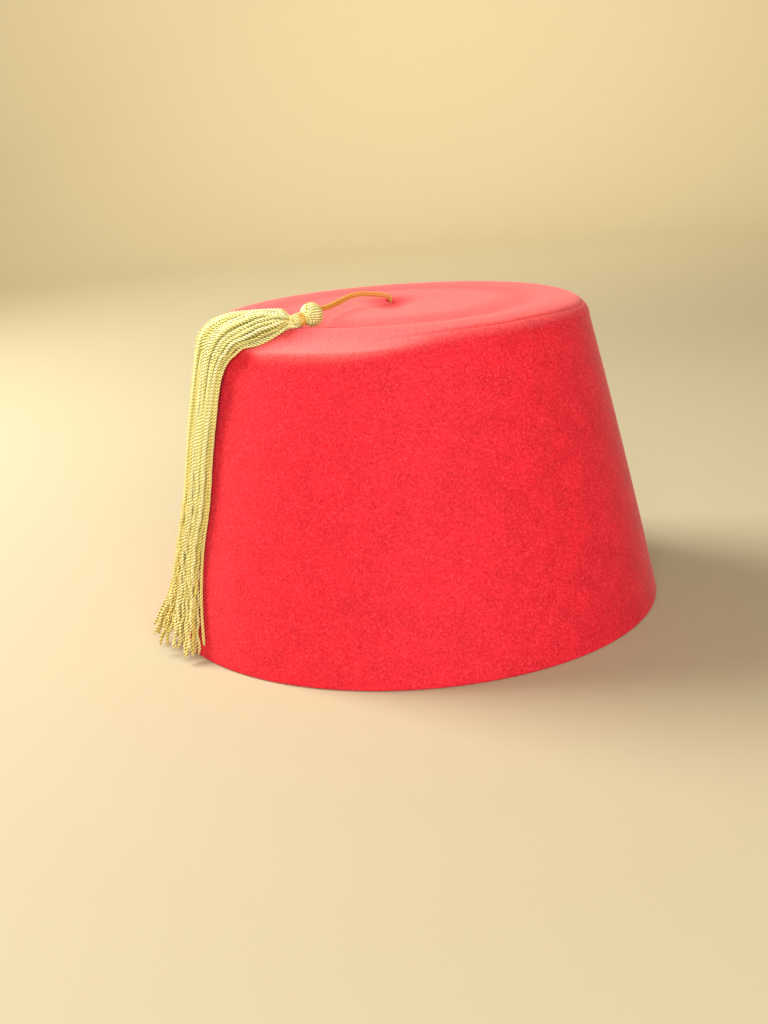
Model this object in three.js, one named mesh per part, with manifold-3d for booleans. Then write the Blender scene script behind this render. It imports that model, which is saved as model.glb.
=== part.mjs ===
// A fez: a blocked felt crown, open below, with a tassel on a short cord from a hole in its top.
// Millimetres, +Z up. The origin is the centre of the rim's plane, the oval's long way is X,
// and the tassel hangs over the front left of the edge, where front is -Y.

import * as THREE from 'three';
import { mergeVertices } from 'three/addons/utils/BufferGeometryUtils.js';
import Module from 'manifold-3d';

const wasm = await Module();
wasm.setup();

// Driving dimensions of the crown. A radius is the mean of the oval's two half-axes.
const RIM_RADIUS = 95;
const TOP_RADIUS = 72;
const HEIGHT = 117;
const RIM_OVAL = 1.04;
const TOP_OVAL = 1.03;
const SIDE_SWELL = 0.5;
const EDGE_WIDTH = 12;
const EDGE_DROP = 8.2;
const FELT = 2.4;
const RIM_CHAMFER = 0.5;

// The relief of the top, measured down from the crest inside the rolled edge.
const CREST_RADIUS = TOP_RADIUS - EDGE_WIDTH;
const CENTRE_SINK = 0.7;
const MOAT = { radius: 47, halfWidth: 13, depth: 1.4, moreInFront: 0.5 };
const HOLE = { x: -1.2, y: 14, radius: 1.5 };
const DIMPLE = { x: -0.5, y: 2, halfX: 13, halfY: 17, depth: 1.9 };

// The rolled edge has sunk at the front left, down to a tight lower lip. `turn` is where the
// lip is on the quarter turn of the edge, `onset` how gently it sets in, and the rest azimuths.
const SLUMP = { depth: 2.0, turn: 75, onset: 1.6, starts: 218, whole: 232, eases: 252, ends: 290 };

// The cord and what is on it.
const CORD_DIAMETER = 1.9;
const CORD_SIDES = 8;
const CORD_STEPS = 26;
const KNOT_WIDTH = 6.4;
const KNOT_HEIGHT = 3;
const BALL = { x: -28.7, y: -41, z: 120.3, radius: 4.2, squash: 0.96 };
const NECK_AXIS = new THREE.Vector3(-0.72, -0.67, -0.16).normalize();
const BINDING = { radius: 2.5, length: 2.9, turns: 4, groove: 0.3 };
const GAP = 0.3;
const BINDING_START = BALL.radius * BALL.squash + GAP;
const SKIRT_START = BINDING_START + BINDING.length + GAP;
const HEAD_ROOM = 6;
const HEAD_TURN = new THREE.Quaternion().setFromUnitVectors(new THREE.Vector3(0, 1, 0), NECK_AXIS);

// How finely the faceted solids are cut.
const ROUND_STEPS = 64;
const SMALL_ROUND_STEPS = 16;
const KNOT_ROWS = 8;
const BALL_ROWS = 10;

// Where the rings of the crown are: millimetres from the middle of the top, then shares of
// the rolled edge and of the side.
const TOP_ROWS = [10, 20, 29, 36, 42, 47, 52, 56];
const EDGE_SHARES = [0, 0.2, 0.4, 0.58, 0.74, 0.88, 1];
const SIDE_SHARES = [0.25, 0.5, 0.75];

const DEG = Math.PI / 180;
const mix = (a, b, t) => a + (b - a) * t;
const clamp = (t) => Math.min(Math.max(t, 0), 1);
const smooth = (t) => clamp(t) ** 2 * (3 - 2 * clamp(t));
const bump = (t) => (Math.abs(t) < 1 ? (1 + Math.cos(Math.PI * t)) / 2 : 0);

// The outer surface of the felt, by the distance along it from the middle of the top
// and the azimuth: first the top, then the rolled edge, then the side down to the rim.
const EDGE_LENGTH = (Math.PI / 2) * Math.sqrt((EDGE_WIDTH ** 2 + EDGE_DROP ** 2) / 2);
const SIDE_HEIGHT = HEIGHT - EDGE_DROP;
const SIDE_LENGTH = Math.hypot(RIM_RADIUS - TOP_RADIUS, SIDE_HEIGHT);
const EDGE_START = CREST_RADIUS;
const SIDE_START = EDGE_START + EDGE_LENGTH;
const FELT_END = SIDE_START + SIDE_LENGTH;

function topHeight(x, y) {
  const radius = Math.hypot(x, y);
  const front = radius > 0 ? -y / radius : 0;
  const inward = 1 - smooth(radius / MOAT.radius);
  const moat = (MOAT.depth + MOAT.moreInFront * front) * bump((radius - MOAT.radius) / MOAT.halfWidth);
  const away = Math.hypot((x - DIMPLE.x) / DIMPLE.halfX, (y - DIMPLE.y) / DIMPLE.halfY);
  return HEIGHT - CENTRE_SINK * inward - moat - DIMPLE.depth * bump(away);
}

// How far the rolled edge has sunk: about half a sine wave from the crest to the lip.
function edgeSlump(turn, azimuth) {
  const bearing = ((azimuth % 360) + 360) % 360;
  const begin = smooth((bearing - SLUMP.starts) / (SLUMP.whole - SLUMP.starts));
  const end = 1 - smooth((bearing - SLUMP.eases) / (SLUMP.ends - SLUMP.eases));
  const share = clamp(turn / (SLUMP.turn * DEG)) ** SLUMP.onset;
  return SLUMP.depth * begin * end * Math.sin(Math.PI * share);
}

function ovalPoint(radius, azimuth, oval, z) {
  const a = azimuth * DEG;
  return new THREE.Vector3(
    radius * Math.sqrt(oval) * Math.cos(a), (radius / Math.sqrt(oval)) * Math.sin(a), z);
}

function feltPoint(along, azimuth) {
  if (along <= EDGE_START) {
    const point = ovalPoint(along, azimuth, TOP_OVAL, 0);
    point.z = topHeight(along * Math.cos(azimuth * DEG), along * Math.sin(azimuth * DEG));
    return point;
  }
  if (along <= SIDE_START) {
    const turn = ((along - EDGE_START) / EDGE_LENGTH) * (Math.PI / 2);
    const radius = CREST_RADIUS + EDGE_WIDTH * Math.sin(turn);
    const drop = EDGE_DROP * (1 - Math.cos(turn)) + edgeSlump(turn, azimuth);
    return ovalPoint(radius, azimuth, TOP_OVAL, HEIGHT - drop);
  }
  const down = (along - SIDE_START) / SIDE_LENGTH;
  const radius = mix(TOP_RADIUS, RIM_RADIUS, down) + SIDE_SWELL * 4 * down * (1 - down);
  return ovalPoint(radius, azimuth, mix(TOP_OVAL, RIM_OVAL, down), SIDE_HEIGHT * (1 - down));
}

function feltNormal(along, azimuth) {
  const step = 0.05;
  const ahead = feltPoint(along + step, azimuth).sub(feltPoint(along - step, azimuth));
  const round = feltPoint(along, azimuth + step).sub(feltPoint(along, azimuth - step));
  return ahead.cross(round).normalize();
}

function offFelt(along, azimuth, off) {
  return feltPoint(along, azimuth).addScaledVector(feltNormal(along, azimuth), off);
}

// Meshes from rings of points. Each ring has the same number of points, and the first and
// last may be a single point. The faces point outwards when each ring turns to the right
// about the way that the rings go.
function skinOfRings(rings) {
  const positions = [];
  const starts = rings.map((ring) => {
    const start = positions.length / 3;
    ring.forEach((p) => positions.push(p.x, p.y, p.z));
    return start;
  });
  const index = [];
  for (let k = 0; k + 1 < rings.length; k++) {
    const [a, b] = [rings[k].length, rings[k + 1].length];
    const count = Math.max(a, b);
    for (let i = 0; i < count; i++) {
      const j = (i + 1) % count;
      const [a0, a1] = [starts[k] + (a > 1 ? i : 0), starts[k] + (a > 1 ? j : 0)];
      const [b0, b1] = [starts[k + 1] + (b > 1 ? i : 0), starts[k + 1] + (b > 1 ? j : 0)];
      if (a > 1) index.push(a0, b1, a1);
      if (b > 1) index.push(a0, b0, b1);
    }
  }
  const geometry = new THREE.BufferGeometry();
  geometry.setAttribute('position', new THREE.Float32BufferAttribute(positions, 3));
  geometry.setIndex(index);
  return geometry;
}

function toSolid(geometry) {
  const bare = geometry.clone();
  bare.deleteAttribute('normal');
  bare.deleteAttribute('uv');
  const merged = mergeVertices(bare, 1e-4);
  return new wasm.Manifold(new wasm.Mesh({
    numProp: 3,
    vertProperties: new Float32Array(merged.attributes.position.array),
    triVerts: new Uint32Array(merged.index.array),
  }));
}

function toGeometry(solid) {
  const mesh = solid.getMesh();
  const geometry = new THREE.BufferGeometry();
  geometry.setAttribute('position', new THREE.BufferAttribute(mesh.vertProperties, 3));
  geometry.setIndex(new THREE.BufferAttribute(mesh.triVerts, 1));
  return geometry;
}

// Crown: the felt from the middle of the top down the outside, across the rim and back up
// the inside, turned round the oval, with the cord's hole cut through the top.
function crownRing(pointAt) {
  return Array.from({ length: ROUND_STEPS }, (_, i) => pointAt((360 * i) / ROUND_STEPS));
}

function crownGeometry() {
  const edgeRows = EDGE_SHARES.map((t) => EDGE_START + EDGE_LENGTH * t);
  const sideRows = SIDE_SHARES.map((t) => SIDE_START + SIDE_LENGTH * t);
  const outside = [...TOP_ROWS, ...edgeRows, ...sideRows];
  const inside = outside.filter((_, row) => row % 2 === 1);
  const wallInward = (FELT * SIDE_LENGTH) / SIDE_HEIGHT;
  const sidePoint = (along, azimuth, inward, z) => {
    const point = feltPoint(along, azimuth);
    const radius = Math.hypot(point.x, point.y);
    point.multiplyScalar((radius - inward) / radius);
    point.z = z;
    return point;
  };
  const insidePoint = (along, azimuth) => (along <= SIDE_START
    ? offFelt(along, azimuth, -FELT)
    : sidePoint(along, azimuth, wallInward, feltPoint(along, azimuth).z));
  const rim = [
    { inward: 0, z: RIM_CHAMFER },
    { inward: RIM_CHAMFER, z: 0 },
    { inward: wallInward - RIM_CHAMFER, z: 0 },
    { inward: wallInward, z: RIM_CHAMFER },
  ];
  const rings = [
    [feltPoint(0, 0)],
    ...outside.map((along) => crownRing((azimuth) => feltPoint(along, azimuth))),
    ...rim.map(({ inward, z }) => crownRing((azimuth) => sidePoint(FELT_END, azimuth, inward, z))),
    ...inside.reverse().map((along) => crownRing((azimuth) => insidePoint(along, azimuth))),
    [feltPoint(0, 0).add(new THREE.Vector3(0, 0, -FELT))],
  ];
  const drill = new THREE.CylinderGeometry(HOLE.radius, HOLE.radius, 6 * FELT, SMALL_ROUND_STEPS);
  drill.rotateX(Math.PI / 2);
  drill.translate(HOLE.x, HOLE.y, HEIGHT - FELT);
  return toGeometry(toSolid(skinOfRings(rings)).subtract(toSolid(drill)));
}

// Cord: the route of its middle, from above the knot out of the hole, over the top in a low
// arch and into the ball of the tassel.
const CORD_ROUTE = [
  { x: -1.2, y: 14.0, z: 113.1 },
  { x: -1.2, y: 14.0, z: 115.0 },
  { x: -1.3, y: 13.9, z: 116.6 },
  { x: -2.1, y: 13.3, z: 117.8 },
  { x: -3.9, y: 12.0, z: 118.6 },
  { x: -6.6, y: 10.1, z: 119.3 },
  { x: -9.8, y: 7.4, z: 120.0 },
  { x: -13.1, y: 3.6, z: 120.6 },
  { x: -16.1, y: -1.3, z: 120.7 },
  { x: -18.7, y: -7.2, z: 120.4 },
  { x: -20.8, y: -13.4, z: 120.2 },
  { x: -22.5, y: -19.6, z: 120.2 },
  { x: -23.9, y: -25.6, z: 120.4 },
  { x: -25.1, y: -31.0, z: 120.9 },
  { x: -26.2, y: -34.7, z: 121.2 },
  { x: -26.9, y: -36.8, z: 121.3 },
];

function cordGeometry() {
  const radius = CORD_DIAMETER / 2;
  const corners = Array.from({ length: CORD_SIDES }, (_, i) => {
    const turn = (2 * Math.PI * i) / CORD_SIDES;
    return new THREE.Vector2(radius * Math.cos(turn), radius * Math.sin(turn));
  });
  const path = new THREE.CatmullRomCurve3(CORD_ROUTE.map((p) => new THREE.Vector3(p.x, p.y, p.z)));
  return new THREE.ExtrudeGeometry(new THREE.Shape(corners), {
    steps: CORD_STEPS, bevelEnabled: false, extrudePath: path,
  });
}

// Turned pieces: a profile of radius against distance, turned about its own axis.
function turned(profile, steps = SMALL_ROUND_STEPS) {
  return new THREE.LatheGeometry(profile.map(([r, along]) => new THREE.Vector2(r, along)), steps);
}

function roundProfile(radius, halfLength, rows) {
  return Array.from({ length: rows + 1 }, (_, k) => {
    const turn = Math.PI * (k / rows - 0.5);
    const onAxis = k === 0 || k === rows;
    return [onAxis ? 0 : radius * Math.cos(turn), halfLength * Math.sin(turn)];
  });
}

// Knot: a plain stopper under the felt, round and a little flat.
function knotGeometry() {
  return turned(roundProfile(KNOT_WIDTH / 2, KNOT_HEIGHT / 2, KNOT_ROWS)).rotateX(Math.PI / 2);
}

function ballGeometry() {
  return turned(roundProfile(BALL.radius, BALL.radius * BALL.squash, BALL_ROWS));
}

// Binding: a short barrel whose turns of thread stand as rings.
function bindingGeometry() {
  const { radius, length, turns, groove } = BINDING;
  const pitch = length / turns;
  const profile = [[0, 0], [radius - groove, 0]];
  for (let k = 0; k < turns; k++) {
    profile.push([radius, pitch * (k + 0.35)], [radius, pitch * (k + 0.65)]);
    profile.push([radius - groove, pitch * (k + 1)]);
  }
  profile.push([0, length]);
  return turned(profile);
}

// Skirt: where the bundle of strands lies on the felt, row by row from the binding down.
// "near" is its edge on the right in front and "far" its edge on the left behind: how far
// along the felt from the middle of the top, and the azimuth. "thick" is the bundle's
// height over the felt, "clear" the room under it.
const SKIRT_COLUMNS = ['nearAlong', 'nearAzimuth', 'farAlong', 'farAzimuth', 'thick', 'clear'];
const SKIRT_ROWS = [
  [59.2, 237.6, 56.0, 231.4, 4.6, 0.6], // under the binding
  [62.6, 235.2, 54.0, 227.6, 5.6, 0.5], // strands let go
  [64.6, 232.4, 52.2, 220.6, 6.0, 0.4], // turning left
  [66.8, 229.6, 54.0, 212.5, 6.0, 0.4], // fanned on the top
  [70.8, 226.0, 59.0, 207.6, 5.3, 0.7], // near edge at the roll
  [74.6, 221.4, 63.8, 205.8, 5.0, 1.2], // far edge at the roll
  [79.0, 218.0, 68.6, 203.8, 4.9, 1.6], // over the edge
  [86.0, 216.2, 76.0, 202.4, 4.8, 1.8], // below the edge
  [97.0, 215.2, 89.0, 201.6, 4.7, 1.6], // upper side
  [113.0, 214.4, 109.0, 201.0, 4.7, 1.2], // side, a third down
  [130.0, 214.4, 128.0, 202.0, 4.6, 0.9], // side, half down
  [148.0, 213.0, 147.0, 199.6, 4.6, 0.7], // lower side
  [167.0, 214.2, 166.5, 198.6, 5.2, 0.7], // near the ends
  [186.2, 218.0, 185.7, 199.0, 6.2, 1.0], // ends
];
const LOCKS = 8;
const LOCK_SIDES = 7;
const LOCK_STEPS = 25;
const LOCK_OVERLAP = 1.65;
const EDGE_THINNING = 0.32;
const TAPER = { from: 0.94, to: 0.45 };
const FLARE_FROM = 0.8;
// How much of its full length each lock has, from the near edge to the far one, and how far
// its end stands off the side.
const LOCK_ENDS = [
  { reach: 1.0, flare: 0.5 },
  { reach: 0.975, flare: 1.6 },
  { reach: 0.995, flare: 3.0 },
  { reach: 0.97, flare: 2.2 },
  { reach: 0.99, flare: 3.6 },
  { reach: 0.965, flare: 2.6 },
  { reach: 0.985, flare: 3.2 },
  { reach: 0.975, flare: 4.5 },
];

// A row of the table at any place down it, by a smooth curve through the rows.
function skirtRow(place) {
  const last = SKIRT_ROWS.length - 1;
  const k = Math.min(Math.floor(place), last - 1);
  const t = place - k;
  const pick = (i) => SKIRT_ROWS[Math.min(Math.max(i, 0), last)];
  const [p0, p1, p2, p3] = [pick(k - 1), pick(k), pick(k + 1), pick(k + 2)];
  return Object.fromEntries(SKIRT_COLUMNS.map((column, n) => {
    const [a, b, c, d] = [p0[n], p1[n], p2[n], p3[n]];
    const bend = 2 * a - 5 * b + 4 * c - d + t * (3 * (b - c) + d - a);
    return [column, b + 0.5 * t * (c - a + t * bend)];
  }));
}

function lockGeometry(number) {
  const across = (number + 0.5) / LOCKS;
  const { reach, flare } = LOCK_ENDS[number];
  const height = 1 - EDGE_THINNING * Math.abs(2 * across - 1) ** 2;
  const rings = [];
  for (let k = 0; k <= LOCK_STEPS; k++) {
    const t = k / LOCK_STEPS;
    const row = skirtRow(t * reach * (SKIRT_ROWS.length - 1));
    const along = mix(row.nearAlong, row.farAlong, across);
    const azimuth = mix(row.nearAzimuth, row.farAzimuth, across);
    const up = feltNormal(along, azimuth);
    const near = feltPoint(row.nearAlong, row.nearAzimuth);
    const far = feltPoint(row.farAlong, row.farAzimuth);
    const width = near.distanceTo(far);
    const side = far.sub(near).projectOnPlane(up).normalize();
    const taper = mix(1, TAPER.to, clamp((t - TAPER.from) / (1 - TAPER.from)));
    const halfWide = ((width / LOCKS) * LOCK_OVERLAP * taper) / 2;
    const halfHigh = (row.thick * height * taper) / 2;
    const lift = row.clear + halfHigh + flare * smooth((t - FLARE_FROM) / (1 - FLARE_FROM));
    const middle = offFelt(along, azimuth, lift);
    rings.push(Array.from({ length: LOCK_SIDES }, (_, i) => {
      const turn = (2 * Math.PI * i) / LOCK_SIDES;
      return middle.clone()
        .addScaledVector(side, halfWide * Math.cos(turn))
        .addScaledVector(up, halfHigh * Math.sin(turn));
    }));
    if (k === 0) rings.unshift([middle]);
    if (k === LOCK_STEPS) rings.push([middle]);
  }
  return skinOfRings(rings);
}

// The locks are one body where they meet, cut square off below the binding. A pocket that
// is shut in between them comes out of the join as a shell of negative volume, and is filled.
function skirtGeometry() {
  const locks = Array.from({ length: LOCKS }, (_, number) => toSolid(lockGeometry(number)));
  const room = new THREE.CylinderGeometry(HEAD_ROOM, HEAD_ROOM, SKIRT_START, SMALL_ROUND_STEPS);
  room.translate(0, SKIRT_START / 2, 0);
  room.applyQuaternion(HEAD_TURN);
  room.translate(BALL.x, BALL.y, BALL.z);
  const fused = locks.reduce((all, lock) => all.add(lock)).subtract(toSolid(room));
  const shells = fused.decompose();
  return toGeometry(shells.reduce((most, shell) => (shell.volume() > most.volume() ? shell : most)));
}

const feltRed = new THREE.MeshStandardMaterial({ color: 0xe0202f, roughness: 0.95, metalness: 0 });
const cordGold = new THREE.MeshStandardMaterial({ color: 0xd08a12, roughness: 0.55, metalness: 0 });
const rayonGold = new THREE.MeshStandardMaterial({ color: 0xcdbb3e, roughness: 0.45, metalness: 0 });

function named(name, geometry, material) {
  const mesh = new THREE.Mesh(geometry, material);
  mesh.name = name;
  return mesh;
}

const fez = new THREE.Group();
fez.add(named('crown', crownGeometry(), feltRed));

const knot = named('inner_knot', knotGeometry(), cordGold);
knot.position.set(HOLE.x, HOLE.y, CORD_ROUTE[0].z - GAP - KNOT_HEIGHT / 2);
fez.add(knot);

fez.add(named('hanging_cord', cordGeometry(), cordGold));

// The ball and its binding share one axis, the way that the neck points.
const head = new THREE.Group();
head.position.set(BALL.x, BALL.y, BALL.z);
head.quaternion.copy(HEAD_TURN);
head.add(named('tassel_ball', ballGeometry(), rayonGold));
const binding = named('tassel_binding', bindingGeometry(), cordGold);
binding.position.y = BINDING_START;
head.add(binding);
fez.add(head);

fez.add(named('tassel_skirt', skirtGeometry(), rayonGold));

export default fez;
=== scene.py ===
# %% [markdown]
# # A felt fez with a hanging tassel
# This lesson dresses a measured model of a fez: a stiff red cap of pressed wool felt, with a
# tassel of twisted rayon strands on a short cord. The measured model gives every size, and
# the cells below work each visible surface out as a formula on a grid of numbers.
# The model is loaded first, because each new piece stands for one of its solids.

# %% Load the measured model
import math
import bpy
import numpy as np
from mathutils import Matrix, Vector


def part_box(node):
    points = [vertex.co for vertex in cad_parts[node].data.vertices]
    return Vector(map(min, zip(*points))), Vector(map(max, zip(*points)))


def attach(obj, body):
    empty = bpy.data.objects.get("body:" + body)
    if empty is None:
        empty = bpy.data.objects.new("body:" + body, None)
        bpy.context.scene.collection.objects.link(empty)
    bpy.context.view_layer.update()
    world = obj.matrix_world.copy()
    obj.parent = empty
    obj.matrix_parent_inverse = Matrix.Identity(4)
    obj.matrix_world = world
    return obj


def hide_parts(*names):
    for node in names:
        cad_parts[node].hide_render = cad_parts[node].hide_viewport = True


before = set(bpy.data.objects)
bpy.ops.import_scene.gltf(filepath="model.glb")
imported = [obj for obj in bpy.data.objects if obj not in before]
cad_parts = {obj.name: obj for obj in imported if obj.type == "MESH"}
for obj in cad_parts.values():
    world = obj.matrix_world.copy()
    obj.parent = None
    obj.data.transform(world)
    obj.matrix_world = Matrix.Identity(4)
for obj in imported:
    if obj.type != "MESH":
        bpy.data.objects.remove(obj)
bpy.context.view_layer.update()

MM = 0.001

# %% [markdown]
# ## The camera
# The picture is taken from the front and a little above, by a camera that leans to one side
# by four degrees. A camera is easiest to read as three things: where it stands, which point
# it looks at, and how far it is turned about its own view.

# %% Camera
CAMERA_PLACE = Vector((0.0, -458.13, 176.56)) * MM
LOOKS_AT = Vector((-9.62, -6.39, 36.35)) * MM
CAMERA_LEAN = math.radians(-4.333)
LENS_MM, SENSOR_MM = 42.19, 36.0
NEAREST_SEEN = 10 * MM


def looking(place, aim):
    """Stands at `place`, with the -Z axis, along which cameras and lamps look, turned to `aim`."""
    return Matrix.Translation(place) @ (aim - place).to_track_quat("-Z", "Y").to_matrix().to_4x4()


camera = bpy.data.objects.new("camera", bpy.data.cameras.new("camera"))
camera.data.lens = LENS_MM
camera.data.sensor_width = SENSOR_MM
camera.data.clip_start = NEAREST_SEEN
camera.matrix_world = looking(CAMERA_PLACE, LOOKS_AT) @ Matrix.Rotation(CAMERA_LEAN, 4, "Z")
bpy.context.scene.collection.objects.link(camera)
bpy.context.scene.camera = camera
print("camera looks down by", round(math.degrees(math.asin((CAMERA_PLACE - LOOKS_AT).normalized().z)), 1))

# %% [markdown]
# ## Grids of points
# Nearly every piece here is a sheet of points that closes round into a tube: rings of points,
# one ring after another. One helper turns such a grid into a mesh, and another numbers the
# squares between neighbouring rings as whole arrays, so that no loop visits the points.

# %% Rings of points into one mesh
def add_piece(name, points, faces, material, uvs=None):
    """Makes a mesh object at the origin. `faces` is a list of arrays, and the faces of one array
    all have the same number of corners."""
    mesh = bpy.data.meshes.new(name)
    mesh.from_pydata(points.reshape(-1, 3).tolist(), [], [face for part in faces for face in part.tolist()])
    mesh.polygons.foreach_set("use_smooth", np.ones(len(mesh.polygons), dtype=bool))
    if uvs is not None:
        layer = mesh.uv_layers.new(name="surface")
        layer.data.foreach_set("uv", np.concatenate([part.reshape(-1) for part in uvs]).astype(np.float32))
    mesh.materials.append(material)
    mesh.validate()
    piece = bpy.data.objects.new(name, mesh)
    bpy.context.scene.collection.objects.link(piece)
    triangles = sum(len(part) * (part.shape[1] - 2) for part in faces)
    print(name, "has", triangles, "triangles")
    return piece


def tube_faces(tubes, rings, sides):
    """Squares between neighbouring rings of each tube, with the first side following the last."""
    tube, ring, side = np.meshgrid(np.arange(tubes), np.arange(rings - 1), np.arange(sides), indexing="ij")
    here = (tube * rings + ring) * sides
    after = (side + 1) % sides
    squares = np.stack([here + side, here + after, here + sides + after, here + sides + side], axis=-1)
    return squares.reshape(-1, 4)


# %% [markdown]
# ## The line of the felt
# A fez is one cone of wool felt, steamed and pressed over a block. Every point of its skin is
# found from two numbers: how far it lies along the felt from the middle of the top, and its
# bearing round the hat. The top is nearly flat, the edge is a quarter of an ellipse, and the
# side runs nearly straight down. These are the same sizes that the measured model has.

# %% The outer skin of the felt
RIM_RADIUS, TOP_RADIUS, HEIGHT = 95 * MM, 72 * MM, 117 * MM
RIM_OVAL, TOP_OVAL = 1.04, 1.03
SIDE_SWELL = 0.5 * MM
EDGE_WIDTH, EDGE_DROP = 12 * MM, 8.2 * MM
FELT = 2.4 * MM
CREST_RADIUS = TOP_RADIUS - EDGE_WIDTH
CENTRE_SINK = 0.7 * MM
MOAT = dict(radius=47 * MM, half_width=13 * MM, depth=1.4 * MM, more_in_front=0.5 * MM)
DIMPLE = dict(x=-0.5 * MM, y=2 * MM, half_x=13 * MM, half_y=17 * MM, depth=1.9 * MM)
SLUMP = dict(depth=2.0 * MM, turn=75.0, onset=1.6, starts=218.0, whole=232.0, eases=252.0, ends=290.0)
NORMAL_STEP, NORMAL_TURN = 0.05 * MM, 0.05   # along the felt, and in degrees round the hat

EDGE_LENGTH = math.pi / 2 * math.sqrt((EDGE_WIDTH ** 2 + EDGE_DROP ** 2) / 2)
SIDE_HEIGHT = HEIGHT - EDGE_DROP
SIDE_LENGTH = math.hypot(RIM_RADIUS - TOP_RADIUS, SIDE_HEIGHT)
SIDE_START = CREST_RADIUS + EDGE_LENGTH
FELT_END = SIDE_START + SIDE_LENGTH


def smooth(t):
    """A soft step from 0 to 1: 3t² - 2t³."""
    t = np.clip(t, 0.0, 1.0)
    return t * t * (3 - 2 * t)


def rise(value, start, end):
    """The soft step that is 0 at `start` and 1 at `end`."""
    return smooth((value - start) / (end - start))


def bump(t):
    """A round hill, half of 1 + cos πt, for t between -1 and 1, and 0 beyond."""
    return np.where(np.abs(t) < 1, (1 + np.cos(np.pi * t)) / 2, 0.0)


def mix(a, b, t):
    """A straight mix of a and b."""
    return a + (b - a) * t


def top_height(x, y):
    """The pressed top: a slightly sunk middle, a moat inside the crest and a dimple at the cord."""
    radius = np.hypot(x, y)
    front = -y / np.maximum(radius, 1e-9)
    inward = 1 - smooth(radius / MOAT["radius"])
    moat = MOAT["depth"] + MOAT["more_in_front"] * front
    moat = moat * bump((radius - MOAT["radius"]) / MOAT["half_width"])
    away = np.hypot((x - DIMPLE["x"]) / DIMPLE["half_x"], (y - DIMPLE["y"]) / DIMPLE["half_y"])
    return HEIGHT - CENTRE_SINK * inward - moat - DIMPLE["depth"] * bump(away)


def edge_slump(turn, azimuth):
    """How far the rolled edge has sunk at the front left: depth x sin(π (turn / 75°)^1.6), down
    to a tight lower lip, in full between two bearings and fading out beyond them."""
    bearing = np.mod(azimuth, 360)
    strength = rise(bearing, SLUMP["starts"], SLUMP["whole"])
    strength = strength * (1 - rise(bearing, SLUMP["eases"], SLUMP["ends"]))
    share = np.clip(np.degrees(turn) / SLUMP["turn"], 0, 1)
    return SLUMP["depth"] * strength * np.sin(math.pi * share ** SLUMP["onset"])


def felt_point(along, azimuth, middle=(0.0, 0.0)):
    """The felt's outer skin. Up to the crest it is the pressed top, then a quarter of an ellipse,
    then a cone with a slight swell. `middle` is where the net of points starts on the top."""
    turn_round = np.radians(azimuth)
    turn = np.clip((along - CREST_RADIUS) / EDGE_LENGTH, 0, 1) * math.pi / 2
    down = np.clip((along - SIDE_START) / SIDE_LENGTH, 0, None)
    cone = mix(TOP_RADIUS, RIM_RADIUS, down) + SIDE_SWELL * 4 * down * (1 - down)
    radius = np.where(along <= CREST_RADIUS, along, CREST_RADIUS + EDGE_WIDTH * np.sin(turn))
    radius = np.where(along > SIDE_START, cone, radius)
    away = 1 - smooth(along / CREST_RADIUS)
    x = radius * np.cos(turn_round) + middle[0] * away
    y = radius * np.sin(turn_round) + middle[1] * away
    edge = HEIGHT - EDGE_DROP * (1 - np.cos(turn)) - edge_slump(turn, azimuth)
    z = np.where(along <= CREST_RADIUS, top_height(x, y), edge)
    z = np.where(along > SIDE_START, SIDE_HEIGHT * (1 - down), z)
    stretch = np.sqrt(mix(TOP_OVAL, RIM_OVAL, np.clip(down, 0, 1)))
    return np.stack([x * stretch, y / stretch, z], axis=-1)


def unit(vectors):
    """Each vector at length 1."""
    return vectors / np.maximum(np.linalg.norm(vectors, axis=-1, keepdims=True), 1e-12)


def felt_normal(along, azimuth, middle=(0.0, 0.0)):
    """Outwards from the skin: the way along the felt crossed with the way round it."""
    before, after = (felt_point(along + step, azimuth, middle) for step in (-NORMAL_STEP, NORMAL_STEP))
    left, right = (felt_point(along, azimuth + turn, middle) for turn in (-NORMAL_TURN, NORMAL_TURN))
    return unit(np.cross(after - before, right - left))


print("felt from the middle of the top to the rim, in mm:", round(FELT_END / MM, 1))

# %% [markdown]
# ## Colour and shader nodes
# Colours are picked as the sRGB hex values that a paint chart gives, and turned to
# the linear values that light adds up in. A finish is a small chain of shader nodes, so a few
# helpers make the kinds of node that every finish here needs.

# %% Colours and node helpers
def linear(hex_colour):
    """sRGB hex to linear RGBA."""
    parts = [int(hex_colour[k:k + 2], 16) / 255 for k in (1, 3, 5)]
    return [p / 12.92 if p <= 0.04045 else ((p + 0.055) / 1.055) ** 2.4 for p in parts] + [1.0]


def set_sockets(tree, node, sockets):
    """Gives each socket a value, or another node's output."""
    for name, value in sockets.items():
        if isinstance(value, bpy.types.NodeSocket):
            tree.links.new(value, node.inputs[name])
        else:
            node.inputs[name].default_value = value


def add_node(tree, kind, sockets=None, **settings):
    """Adds a shader node and sets its properties and sockets."""
    made = tree.nodes.new("ShaderNode" + kind)
    for name, value in settings.items():
        setattr(made, name, value)
    set_sockets(tree, made, sockets or {})
    return made


def arithmetic(tree, operation, *values, **settings):
    """One step of arithmetic between shader values."""
    return add_node(tree, "Math", dict(enumerate(values)), operation=operation, **settings).outputs[0]


def mixed_colour(tree, share, first, second, blend="MIX"):
    """Two colours mixed or multiplied."""
    made = add_node(tree, "Mix", {0: share, 6: first, 7: second}, data_type="RGBA", blend_type=blend)
    return made.outputs[2]


def ramp_colour(tree, value, stops):
    """A colour for each value, from stops that are each a place and a hex colour."""
    made = add_node(tree, "ValToRGB", {"Fac": value})
    elements = made.color_ramp.elements
    while len(elements) < len(stops):
        elements.new(0.5)
    for element, (place, colour) in zip(elements, stops):
        element.position = place
        element.color = linear(colour)
    return made.outputs["Color"]


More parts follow.
